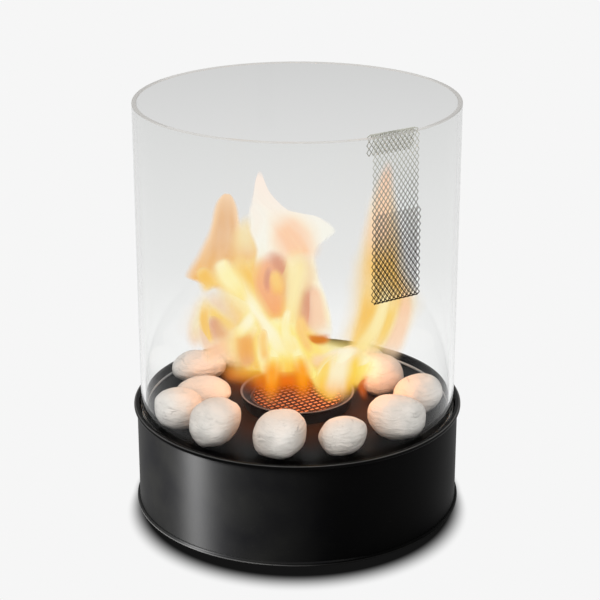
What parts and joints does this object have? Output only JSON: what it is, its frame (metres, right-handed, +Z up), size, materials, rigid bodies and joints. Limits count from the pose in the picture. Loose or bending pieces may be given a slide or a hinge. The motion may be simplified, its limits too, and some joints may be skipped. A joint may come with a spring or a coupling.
{
  "type": "bioethanol fireplace",
  "caption": "Round table-top bioethanol fireplace: black steel drum, drop-in burner, open glass tube with a mesh scent basket hooked on its rim, and loose white pebbles around the fire.",
  "frame": {"origin": "centre of the circle in which the feet stand, on the surface under them", "axes": "+Z up along the axis of the drum and glass; the scent basket hangs at the front, on -Y; +X is to the right of someone who faces the basket"},
  "size_m": [0.2196, 0.2196, 0.2792],
  "materials": {
    "black_steel": "satin black stove enamel",
    "foot_rubber": "matt",
    "clear_glass": "clear, ground edges",
    "burner_steel": "heat-tinted stainless steel",
    "grille_steel": "heat-tinted expanded metal",
    "basket_steel": "bare expanded stainless steel",
    "fibre": "matt fibrous",
    "white_pebble": "chalky matt"
  },
  "bodies": {
    "base": {"base_wall": "black_steel", "base_bottom": "black_steel", "deck_plate": "black_steel", "feet": "foot_rubber"},
    "glass": {"glass_cylinder": "clear_glass"},
    "basket": {"scent_basket": "basket_steel"},
    "burner": {"burner_collar": "burner_steel", "fuel_can": "burner_steel", "ceramic_fibre": "fibre", "burner_grille": "grille_steel"},
    "pebble_01": {"pebble_01": "white_pebble"},
    "pebble_02": {"pebble_02": "white_pebble"},
    "pebble_03": {"pebble_03": "white_pebble"},
    "pebble_04": {"pebble_04": "white_pebble"},
    "pebble_05": {"pebble_05": "white_pebble"},
    "pebble_06": {"pebble_06": "white_pebble"},
    "pebble_07": {"pebble_07": "white_pebble"},
    "pebble_08": {"pebble_08": "white_pebble"},
    "pebble_09": {"pebble_09": "white_pebble"},
    "pebble_10": {"pebble_10": "white_pebble"},
    "pebble_11": {"pebble_11": "white_pebble"},
    "pebble_12": {"pebble_12": "white_pebble"}
  },
  "joints": [
    {"name": "glass_lift", "type": "slide", "parent": "base", "child": "glass", "axis": [0, 0, 1], "range_m": [0, 0.22]},
    {"name": "basket_lift", "type": "slide", "parent": "glass", "child": "basket", "axis": [0, 0, 1], "range_m": [0, 0.12]},
    {"name": "burner_lift", "type": "slide", "parent": "base", "child": "burner", "axis": [0, 0, 1], "range_m": [0, 0.265]},
    {"name": "pebble_01_lift", "type": "slide", "parent": "base", "child": "pebble_01", "axis": [0, 0, 1], "range_m": [0, 0.22]},
    {"name": "pebble_02_lift", "type": "slide", "parent": "base", "child": "pebble_02", "axis": [0, 0, 1], "range_m": [0, 0.22]},
    {"name": "pebble_03_lift", "type": "slide", "parent": "base", "child": "pebble_03", "axis": [0, 0, 1], "range_m": [0, 0.22]},
    {"name": "pebble_04_lift", "type": "slide", "parent": "base", "child": "pebble_04", "axis": [0, 0, 1], "range_m": [0, 0.22]},
    {"name": "pebble_05_lift", "type": "slide", "parent": "base", "child": "pebble_05", "axis": [0, 0, 1], "range_m": [0, 0.22]},
    {"name": "pebble_06_lift", "type": "slide", "parent": "base", "child": "pebble_06", "axis": [0, 0, 1], "range_m": [0, 0.22]},
    {"name": "pebble_07_lift", "type": "slide", "parent": "base", "child": "pebble_07", "axis": [0, 0, 1], "range_m": [0, 0.22]},
    {"name": "pebble_08_lift", "type": "slide", "parent": "base", "child": "pebble_08", "axis": [0, 0, 1], "range_m": [0, 0.22]},
    {"name": "pebble_09_lift", "type": "slide", "parent": "base", "child": "pebble_09", "axis": [0, 0, 1], "range_m": [0, 0.22]},
    {"name": "pebble_10_lift", "type": "slide", "parent": "base", "child": "pebble_10", "axis": [0, 0, 1], "range_m": [0, 0.22]},
    {"name": "pebble_11_lift", "type": "slide", "parent": "base", "child": "pebble_11", "axis": [0, 0, 1], "range_m": [0, 0.22]},
    {"name": "pebble_12_lift", "type": "slide", "parent": "base", "child": "pebble_12", "axis": [0, 0, 1], "range_m": [0, 0.22]}
  ]
}
